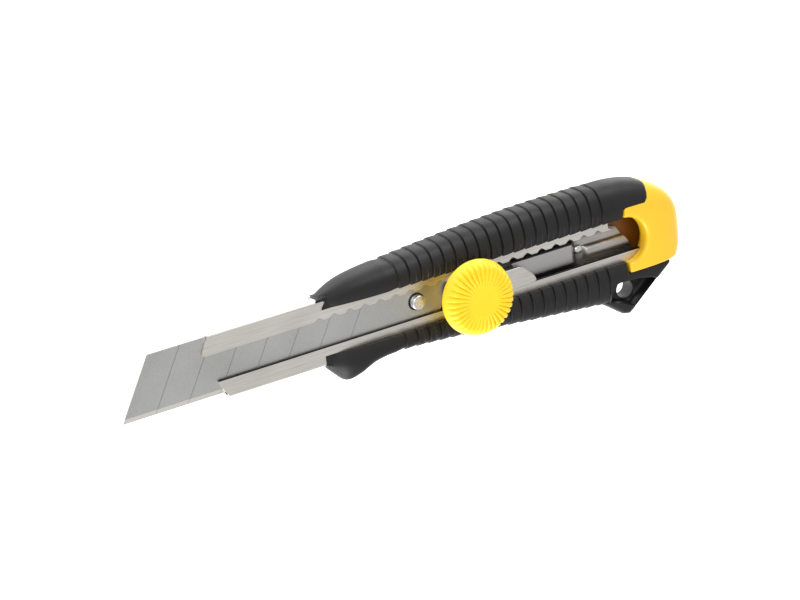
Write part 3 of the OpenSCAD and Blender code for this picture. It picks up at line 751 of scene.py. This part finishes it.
# Inside the envelope's closed end, less the finger loop, the hollow behind its wall and the channel's
# seat.
def buttField(x, y, z):
    s = coreSettings
    gap = s["skinGap"]
    inner = np.minimum(x, buttX - 0.02)
    side = np.where(y > 0, upperSide(inner), -lowerSide(inner)) - gap
    power = np.where(y > 0, envelope["upperPower"], envelope["lowerPower"])
    middle, half = (topZ(inner) + bottomZ(inner)) / 2, (topZ(inner) - bottomZ(inner)) / 2 - gap
    side, half = np.maximum(side, 0.05), np.maximum(half, 0.05)
    shell = ((np.abs(y) / side) ** power + (np.abs(z - middle) / half) ** power) ** (1 / power) - 1
    shell = np.maximum(shell * halfT, x - buttX)
    loop = s["loopR"] - np.where(x < s["loopX"], np.abs(y), np.hypot(x - s["loopX"], y))
    loop = np.maximum(loop, -1e3) + 0 * z
    loop = np.where(z > s["loopLip"] - 2, loop, -10.0)
    body = softMax(shell, np.minimum(loop, (z - s["loopLip"])), s["loopRound"])
    rear = s["hollowRear"]
    outline = [[40, -10.3], [66.5, -10.3], [rear - 1.6, -6], [rear, 0], [rear - 1.6, 6], [62, 10.3],
               [40, 10.3]]
    hollow = outlineDistance(outline, x + 0 * y, y + 0 * x)
    hollow = softMax(hollow, np.abs(z - s["hollowMiddle"]) - s["hollowHalf"], 0.8)
    seat = outlineDistance(s["seat"], x + 0 * y, y + 0 * x)
    notch = np.maximum(seat, np.abs(z - s["seatMiddle"]) - s["seatHalf"])
    body = np.maximum(body, -np.minimum(hollow, notch))
    front = np.where(y > s["upperFrom"], s["upperFront"] - x, s["buttFront"] - x)
    body = softMax(body, front, 0.3)
    return softMax(body, s["buttEdge"] - y, 0.7)


def addCore():
    s = coreSettings
    points, faces = fieldMesh(buttField, (50, -11, -0.4), (buttX + 0.6, 18.6, 17), s["step"])
    addPiece("coreButt", points, faces, yellowShell, "handle", "yellow_shell", ["core_body"], crease=60)
    # sheath: a U-shaped section carried from the nose to the butt
    x = np.concatenate([np.linspace(-44, -24, 14), np.linspace(-20, 56.5, 12)])[:, None]
    out = np.where(x < -31, s["plinthHalf"], s["sheathHalf"])
    low = bottomZ(x) + 0.02
    knee = np.maximum(2.25, low + 0.1)
    seat, floor, lip = channelHigh[1] + 0.04, channelLow[2] - 0.04, lipTop - 0.2
    lip = np.where(x < -31, floor, lip)
    p = s["plinthHalf"]
    half = [(p - 0.5, low), (p, low + 0.5), (p, knee), (out, knee + 0.05), (out, lip),
            (np.minimum(seat, out), lip), (np.minimum(seat, out), floor)]
    ys = np.concatenate([a + 0 * x for a, b in half], 1)
    zs = np.concatenate([b + 0 * x for a, b in half], 1)
    ring = np.stack([np.broadcast_to(x, (len(x), 14)), np.concatenate([ys, -ys[:, ::-1]], 1),
                     np.concatenate([zs, zs[:, ::-1]], 1)], -1)
    addPiece("coreSheath", *ringsToMesh(ring, True), yellowShell, "handle", "yellow_shell",
             ["core_body"], crease=30)


yellowShell = shellFinish()
addCore()
print("core ready")

# Tail
tailSettings = {
    "outline": [[46.9, -10.35], [46.9, -18.6], [49.5, -20.3], [52.2, -22.4], [54.3, -23.9], [56.5, -24.3],
                [58.2, -23.2], [72.4, -12.4], [72.9, -11.6], [72.4, -10.35]],
    "pocket": [[51.8, -13.2], [60.6, -13.6], [65.4, -14.7], [67.4, -15.7], [58.6, -22.2], [56.7, -21.3],
               [54.3, -20.2], [48, -17.6], [48.9, -16.6], [51.7, -14.9]],
    "holeAt": [58.2, -17.8], "holeR": 3.0, "pocketFloor": 9.0, "rimRound": 2.4, "step": 0.24,
}


# The tail's outline between its two faces, less the pocket and the lanyard hole.
def tailField(x, y, z):
    s = tailSettings
    low, high = tailLow[2], tailHigh[2]
    plan = outlineDistance(s["outline"], x + 0 * y, y + 0 * x)
    pocket = outlineDistance(s["pocket"], x + 0 * y, y + 0 * x)
    body = softMax(plan, np.abs(z - (low + high) / 2) - (high - low) / 2, s["rimRound"])
    hollow = softMax(pocket, s["pocketFloor"] - z, 1.5)
    body = softMax(body, -hollow, 0.5)
    hole = np.hypot(x - s["holeAt"][0], y - s["holeAt"][1]) - s["holeR"]
    return softMax(body, -hole, 0.5)


def addTail():
    s = tailSettings
    low, high = (46.2, -25.2, tailLow[2] - 0.6), (73.6, -9.6, tailHigh[2] + 0.6)
    points, faces = fieldMesh(tailField, low, high, s["step"])
    addPiece("tailSnapper", points, faces, tailPlastic, "handle", "tail_plastic", ["tail_snapper"], crease=60)


addTail()
print("tail ready")

# Channel
channelSettings = {
    "sheet": 0.7, "bend": 1.2, "backBend": 1.0, "lipUp": 4.0, "lipLow": 4.2, "notchStart": -46.93,
    "notchPitch": 5,
    "notchCount": 20, "notchHalf": 1.45, "notchDepth": 1.1, "edge": 0.12,
    "wideY": -1.0, "wideHigh": 1.7, "narrowY": -2.2, "narrowHalf": 2.3, "narrowHigh": 1.75,
    "depthRows": [[-90, 2.2], [-82, 2.2], [-68, 4.1], [-46, 4.6], [-30, 5.4], [70, 5.4]],
    "frontRows": [[-11, -77.6], [-9, -78.1], [-5.1, -80.2], [-4.6, -80.2], [-4.3, -79.9], [-4.2, -79.5],
                  [-3, -79.6], [3.8, -82.4], [4.0, -82.9], [4.15, -83.3], [4.5, -83.7], [5.0, -83.8],
                  [9.5, -81.7], [11, -81.2]],
    "rearRows": [[-11, 66], [2.7, 57.2], [4.6, 51.8], [11, 51.8]],
}


# Brushed lips over a floor with painted shade: the floor is coloured darker than the lips, darkest low down
# beside the ridges, in front of x 41 and near the upper wall.
def channelFinish():
    material, tree, shader, effect, coordinates = startMaterial(
        "channelSteel", (0.8, 0.79, 0.77), 1.0, 0.3, brushedLines, {"Lines": 5200.0, "Stretch": 0.015})
    tone = ramp(tree, effect.outputs["Tone"], 0.35, 0.65, 0.0, 1.0)
    lips = blendColours(tree, tone, (0.80, 0.78, 0.75), (0.90, 0.885, 0.865), None)
    light = blendColours(tree, tone, (0.66, 0.65, 0.64), (0.78, 0.765, 0.75), None)
    split = tree.nodes.new("ShaderNodeSeparateXYZ")
    tree.links.new(coordinates.outputs["Object"], split.inputs[0])
    # Painted shade on the floor: dark low down beside the ridges, lighter on the ridges' tops.
    ridge = ramp(tree, split.outputs["Z"], (channelLow[2] + 1.0) * mm, (channelLow[2] + 2.2) * mm, 0.0, 1.0)
    floorPaintedShade = blendColours(tree, ridge, (0.30, 0.30, 0.30), (0.74, 0.735, 0.73), None)
    # Painted shade: the floor stays dark in front of x 41, and near the upper wall behind it.
    rear = ramp(tree, split.outputs["X"], 41.0 * mm, 43.6 * mm, 0.0, 1.0)
    paintedShadeByWall = ramp(tree, split.outputs["Y"], 1.8 * mm, 3.4 * mm, 1.0, 0.15)
    floor = blendColours(tree, mathNode(tree, "MULTIPLY", rear, paintedShadeByWall), floorPaintedShade, light, None)
    # The whole floor is coloured darker than the lips, as painted shade.
    level = heightMask(tree, coordinates, channelLow[2] + 3.0, lipTop - 1.2)
    both = blendColours(tree, level, floor, lips, None)
    # Painted shadow: a near-black band along the lower lip's free edge, standing for the gap's shadow on the
    # blade below.
    lipEdge = -channelSettings["lipLow"]
    lipGapShadowBand = between(tree, split.outputs["Y"], lipEdge - 0.28, lipEdge + 0.25, 0.03)
    edge = mathNode(tree, "MULTIPLY", lipGapShadowBand, level)
    blendColours(tree, edge, both, (0.10, 0.10, 0.10), shader.inputs["Base Color"])
    tree.links.new(ramp(tree, level, 0.0, 1.0, 0.42, 0.38), shader.inputs["Roughness"])
    addBump(tree, shader, effect.outputs["Height"], 0.012)
    return material


# How far a notch has cut into the upper lip at x: a V with a rounded bottom, repeated at the pitch.
def notchDepth(x):
    s = channelSettings
    turn = np.round((x - s["notchStart"]) / s["notchPitch"])
    turn = np.clip(turn, 0, s["notchCount"] - 1)
    away = np.abs(x - s["notchStart"] - turn * s["notchPitch"]) / s["notchHalf"]
    return s["notchDepth"] * np.clip(1 - away, 0, 1) ** 0.85 * (1 - 0.12 * np.clip(1 - away * 4, 0, 1))


# Pressed ridges: a wide flat one, and a narrow round one that runs on to the slanted end.
def floorBump(x, y):
    s = channelSettings
    wide = s["wideHigh"] * smoothStep(3.75, 2.75, np.abs(y - s["wideY"]))
    wide = wide * smoothStep(-28, -26.5, x) * smoothStep(42.4, 40.0, x)
    narrow = s["narrowHigh"] * np.sqrt(np.clip(1 - ((y - s["narrowY"]) / s["narrowHalf"]) ** 2, 0, 1))
    narrow = narrow * smoothStep(44.2, 45.8, x)
    return np.maximum(wide, narrow)


# Points across the sheet from the lower lip's edge round to the upper lip's, as a place along the
# section, given by which stretch it is on and how far along it lies.
def channelSection():
    bend = np.linspace(0, 1, 7)
    flat = np.linspace(-1, 1, 76)
    lip = np.array([0, 0.02, 0.05, 0.09, 0.16, 0.3, 0.5, 0.75])
    lengths = [len(lip), len(bend), len(bend), len(flat), len(bend), len(bend), len(lip)]
    stretch = np.repeat(np.arange(len(lengths)), lengths)
    along = np.concatenate([lip, bend, bend, flat, bend, bend, 1 - lip[::-1]])
    return stretch, along


def addChannel():
    s = channelSettings
    offsets = np.array([-1.6, -1.45, -1.2, -0.9, -0.6, -0.3, -0.12, 0, 0.12, 0.3, 0.6, 0.9, 1.2, 1.45, 1.6])
    notches = (s["notchStart"] + np.arange(s["notchCount"]) * s["notchPitch"])[:, None] + offsets[None]
    notches = notches.ravel()
    bends = np.array([-76, -72, -68, -62, -56, -50])
    ridge = np.array([-28, -27.6, -27.2, -26.8, -26.5, 40, 40.4, 40.8, 41.2, 41.6, 42, 42.4, 44.2, 44.6, 45,
                      45.4, 45.8])
    body = np.unique(np.round(np.concatenate([bends, notches[notches < 51], ridge]), 3))
    lead, trail = np.linspace(0, 1, 5)[::-1], np.linspace(0, 1, 12)
    station = np.concatenate([lead, body, trail])[:, None]
    part = np.concatenate([np.zeros(5), np.ones(len(body)), np.full(12, 2)])[:, None]
    front, rear = -77.5, 51.2
    stretch, along = channelSection()
    halfW, top = channelHigh[1], lipTop
    lipRoom = halfW - s["bend"]
    rough = np.select([stretch == 0, stretch <= 2, stretch == 3, stretch <= 5],
                      [-s["lipLow"] - (lipRoom - s["lipLow"]) * along, -halfW, along * 9, halfW],
                      lipRoom - (lipRoom - s["lipUp"]) * along)
    for _ in range(2):
        frontX = np.interp(rough, *np.array(s["frontRows"]).T)
        rearX = np.interp(rough, *np.array(s["rearRows"]).T)
        x = np.where(part == 0, front + (frontX - front) * station,
                     np.where(part == 1, station + 0 * frontX, rear + (rearX - rear) * station))

    # One face of the sheet: the outer one, or the inner one a sheet's thickness in.
    def surface(inner):
        t = s["sheet"] if inner else 0.0
        bend, backBend, w = s["bend"] - t, s["backBend"] - t, halfW - t
        zTop = top - t
        zFloor = top - np.interp(x, *np.array(s["depthRows"]).T) + t
        room = np.maximum(zTop - zFloor, bend + 0.1)
        backBend = np.minimum(backBend, room - bend - 0.02)
        turn = along * math.pi / 2
        lipLow, lipUp = -s["lipLow"] + 0 * x, s["lipUp"] + notchDepth(x) * (part < 2)
        ys, zs = [], []
        edgeLow = lipLow + (-w + bend - lipLow) * along
        edgeUp = (w - bend) + (lipUp - w + bend) * along
        stretches = [stretch == number for number in range(6)]
        lowBend, upBend = -w + bend - bend * np.sin(turn) + 0 * x, w - bend + bend * np.cos(turn) + 0 * x
        lowWall, upWall = -w + backBend - backBend * np.cos(turn), w - backBend + backBend * np.sin(turn)
        floorY = along * (w - backBend)
        y = np.select(stretches, [edgeLow, lowBend, lowWall, floorY, upWall, upBend], edgeUp)
        lowBend, upBend = zTop - bend + bend * np.cos(turn) + 0 * x, zTop - bend + bend * np.sin(turn) + 0 * x
        lowWall = zFloor + backBend - backBend * np.sin(turn)
        upWall = zFloor + backBend - backBend * np.cos(turn)
        pressed = zFloor + floorBump(x, floorY)
        z = np.select(stretches, [zTop + 0 * x, lowBend, lowWall, pressed, upWall, upBend], zTop + 0 * x)
        return y, z

    yOut, zOut = surface(False)
    yIn, zIn = surface(True)
    # the lips' free edges: one point half way, so that the rim is slightly rounded
    edge = s["edge"]
    for y in (yOut, yIn):
        y[:, 0] -= edge * 0.5
        y[:, -1] += edge * 0.5
    count = x.shape[1]
    ring = np.stack([np.concatenate([x, x[:, ::-1]], 1), np.concatenate([yOut, yIn[:, ::-1]], 1),
                     np.concatenate([zOut, zIn[:, ::-1]], 1)], -1)
    rows, cols = ring.shape[:2]
    faces = gridFaces(rows, cols).tolist()
    i = np.arange(count - 1)
    cap = np.stack([i, i + 1, cols - 2 - i, cols - 1 - i], 1)
    faces += cap.tolist() + (cap[:, ::-1] + (rows - 1) * cols).tolist()
    addPiece("channelSheet", ring.reshape(-1, 3), faces, channelSteel, "handle", "channel_steel",
             ["blade_channel"], crease=28)


channelSteel = channelFinish()
addChannel()
print("channel ready")

# Lock wheel
wheelSettings = {"grooves": 36, "grooveDepth": 0.56, "discR": 4.1, "fadeR": 6.2, "hubR": 6.0, "perGroove": 12}


# A domed profile turned about the axis, with grooves that run out from the smooth disc and over the rim.
def addWheel():
    s = wheelSettings
    r, z0, z1 = wheelHigh[0], wheelHigh[2] - 6.3, wheelHigh[2]
    disc = s["discR"]
    knots = np.array([
        [s["hubR"], wheelLow[2]], [s["hubR"], z0 + 0.9], [s["hubR"] + 0.5, z0 + 0.45], [r - 2.2, z0 + 0.05],
        [r - 1.2, z0 + 0.15], [r - 0.45, z0 + 0.5], [r, z0 + 1.3], [r - 0.12, z0 + 2.0], [r - 0.4, z0 + 3.0],
        [r - 0.8, z0 + 4.3], [r - 1.3, z1 - 1.0], [r - 2.0, z1 - 0.42], [r - 3.2, z1 - 0.14], [r - 4.6, z1],
        [disc + 1.2, z1 + 0.02], [disc, z1 - 0.02], [disc - 0.5, z1 - 0.06], [1.5, z1 - 0.02],
    ])
    for _ in range(2):
        cut = np.concatenate([0.75 * knots[:-1] + 0.25 * knots[1:], 0.25 * knots[:-1] + 0.75 * knots[1:]], 1)
        knots = np.concatenate([knots[:1], cut.reshape(-1, 2), knots[-1:]])
    length = np.concatenate([[0], np.cumsum(np.hypot(*np.diff(knots, axis=0).T))])
    even = np.linspace(0, length[-1], 96)
    radius = np.interp(even, length, knots[:, 0])[:, None]
    height = np.interp(even, length, knots[:, 1])[:, None]
    slopeR, slopeZ = np.gradient(radius, axis=0), np.gradient(height, axis=0)
    size = np.hypot(slopeR, slopeZ)
    normalR, normalZ = slopeZ / size, -slopeR / size
    angle = np.linspace(0, 2 * math.pi, s["grooves"] * s["perGroove"], endpoint=False)[None]
    wave = (0.5 + 0.5 * np.cos(s["grooves"] * angle)) ** 3.2
    above = smoothStep(z0 + 2.4, z0 + 5.2, height)
    start = smoothStep(s["discR"], s["fadeR"], radius)
    depth = s["grooveDepth"] * above * start * wave * (0.55 + 0.45 * smoothStep(5, 9, radius))
    rr, zz = radius - depth * normalR, height - depth * normalZ
    rings = np.stack([rr * np.cos(angle), rr * np.sin(angle), zz], -1)
    points, faces = ringsToMesh(rings)
    addPiece("lockWheel", points, faces, wheelYellow, "wheel", "wheel_yellow",
             ["lock_wheel", "wheel_cap"], crease=60)


addWheel()
print("wheel ready")

# Small metal pieces
plateSettings = {
    "discR": 6.0, "neckLow": 4.6, "neckUp": 1.8, "corner": 1.3, "edge": 0.18, "middle": (2.0, -1.2),
}
rivetSettings = {"places": ([-9, 5.5], [43.3, -0.7]), "shankR": 1.1, "headR": 1.5, "segments": 40}


# A disc about the wheel's axis, with a slanted nose towards the butt joined to it by rounded corners.
def addClampPlate():
    s = plateSettings
    radius, low, up = s["discR"], s["neckLow"], s["neckUp"]
    joinX = math.sqrt(radius ** 2 - low ** 2)
    upX = math.sqrt(radius ** 2 - up ** 2)
    turn = np.linspace(math.atan2(up, upX), 2 * math.pi - math.atan2(low, joinX), 40)
    disc = np.stack([radius * np.cos(turn), radius * np.sin(turn)], 1)
    end = plateHigh[0]
    nose = [[end - 2.0, -low], [end + 0.35, -3.9], [end - 0.6, -1.9], [end - 4.4, up]]
    tail = roundedOutline(np.concatenate([disc[-1:], nose, disc[:1]]), s["corner"])[6:-6]
    outline = np.concatenate([disc, tail])
    points, faces = plate(outline, plateLow[2], plateHigh[2], s["edge"], s["middle"])
    addPiece("clampPlate", points, faces, plateSteel, "clamp", "channel_steel", ["clamp_plate"], crease=40)


# A cylinder with a chamfered foot and a softly rounded head.
def addPin():
    centre = (pinLow[:2] + pinHigh[:2]) / 2
    r, low, high = (pinHigh[0] - pinLow[0]) / 2, pinLow[2], pinHigh[2]
    profile = [(0, low), (r - 0.2, low), (r, low + 0.2), (r, high - 0.5), (r - 0.04, high - 0.36),
               (r - 0.14, high - 0.2), (r - 0.34, high - 0.06), (r - 0.6, high), (r * 0.45, high - 0.02),
               (0, high - 0.05)]
    addPiece("bladePin", *turned(profile, 72, tuple(centre)), brightSteel, "slider", "bright_steel",
             ["blade_pin"], crease=40)


# Each rivet is one turned piece: a domed head on the channel's floor and a flat one under the core.
def addRivets():
    s = rivetSettings
    shank, head = s["shankR"], s["headR"]
    points, faces, start = [], [], 0
    low, high = boxMm("channel_rivets")
    floor = channelLow[2] + channelSettings["sheet"]
    for place in s["places"]:
        profile = [(0, low[2]), (1.3, low[2]), (head, low[2] + 0.2), (head, low[2] + 0.85),
                   (shank, low[2] + 0.9), (shank, floor), (head, floor), (head, floor + 0.35),
                   (1.3, floor + 0.65), (0.9, floor + 0.83), (0, high[2])]
        rivetPoints, rivetFaces = turned(profile, s["segments"], tuple(place))
        faces += [[i + start for i in face] for face in rivetFaces]
        points.append(rivetPoints)
        start += len(rivetPoints)
    addPiece("channelRivets", np.concatenate(points), faces, brightSteel, "handle", "bright_steel",
             ["channel_rivets"], crease=35)


addClampPlate()
addPin()
addRivets()

# Blade
bladeSettings = {"snapAngle": 60, "pitch": 10, "lines": 7, "lineHalf": 0.15, "bevel": 1.4}


# Ground steel with a lighter band along the cutting edge's bevel, painted to stand in for its brighter
# reflection, and dark score lines across the blade.
def bladeFinish():
    b = bladeSettings
    material = steelFinish("bladeSteel", (0.70, 0.70, 0.69), (0.78, 0.78, 0.77),
                           (0.36, 0.48), 6000.0, 0.4, 0.006)
    tree = material.node_tree
    shader = tree.nodes["Principled BSDF"]
    plain = shader.inputs["Base Color"].links[0].from_socket
    split = tree.nodes.new("ShaderNodeSeparateXYZ")
    tree.links.new([n for n in tree.nodes if n.type == "TEX_COORD"][0].outputs["Object"], split.inputs[0])
    rise = mathNode(tree, "SUBTRACT", split.outputs["Y"], float(bladeLow[1]) * mm)
    lean = mathNode(tree, "MULTIPLY", rise, 1 / math.tan(math.radians(b["snapAngle"])))
    fromTip = mathNode(tree, "SUBTRACT", split.outputs["X"], float(bladeLow[0]) * mm)
    along = mathNode(tree, "SUBTRACT", fromTip, lean)
    turn = mathNode(tree, "MULTIPLY", along, 1 / (b["pitch"] * mm))
    offLine = mathNode(tree, "SUBTRACT", turn, mathNode(tree, "ROUND", turn, 0.0))
    away = mathNode(tree, "ABSOLUTE", offLine, 0.0)
    line = ramp(tree, away, b["lineHalf"] / b["pitch"], 0.4 * b["lineHalf"] / b["pitch"], 0.0, 1.0)
    inside = between(tree, turn, 0.5 / mm, (b["lines"] + 0.5) / mm, 0.1 / mm)
    # Painted reflection: the bevel's band is coloured lighter instead of reflecting differently.
    bevel = ramp(tree, rise, (b["bevel"] + 0.1) * mm, (b["bevel"] - 0.1) * mm, 0.0, 1.0)
    bevelPaintedSheen = blendColours(tree, bevel, plain, (0.86, 0.85, 0.83), None)
    scored = mathNode(tree, "MULTIPLY", mathNode(tree, "MULTIPLY", line, inside), 0.34)
    blendColours(tree, scored, bevelPaintedSheen, (0.25, 0.25, 0.25), shader.inputs["Base Color"])
    return material


bladeSteel = bladeFinish()
# The remaining pieces keep their own shape and get their finish here.
finishes = {
    "blade": bladeSteel, "back_cover": yellowShell, "cover_screws": darkSteel, "snapper_screw": darkSteel,
    "carriage": darkSteel, "lock_stud": brightSteel, "detent_spring": plateSteel,
    "detent_rivets": brightSteel, "lift_spring": plateSteel, "thrust_washer": brightSteel,
    "wheel_insert": brassTurned, "stud_clip": darkSteel,
}
for node, material in finishes.items():
    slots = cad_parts[node].material_slots
    for place in slots:
        place.material = material
print("small pieces ready")
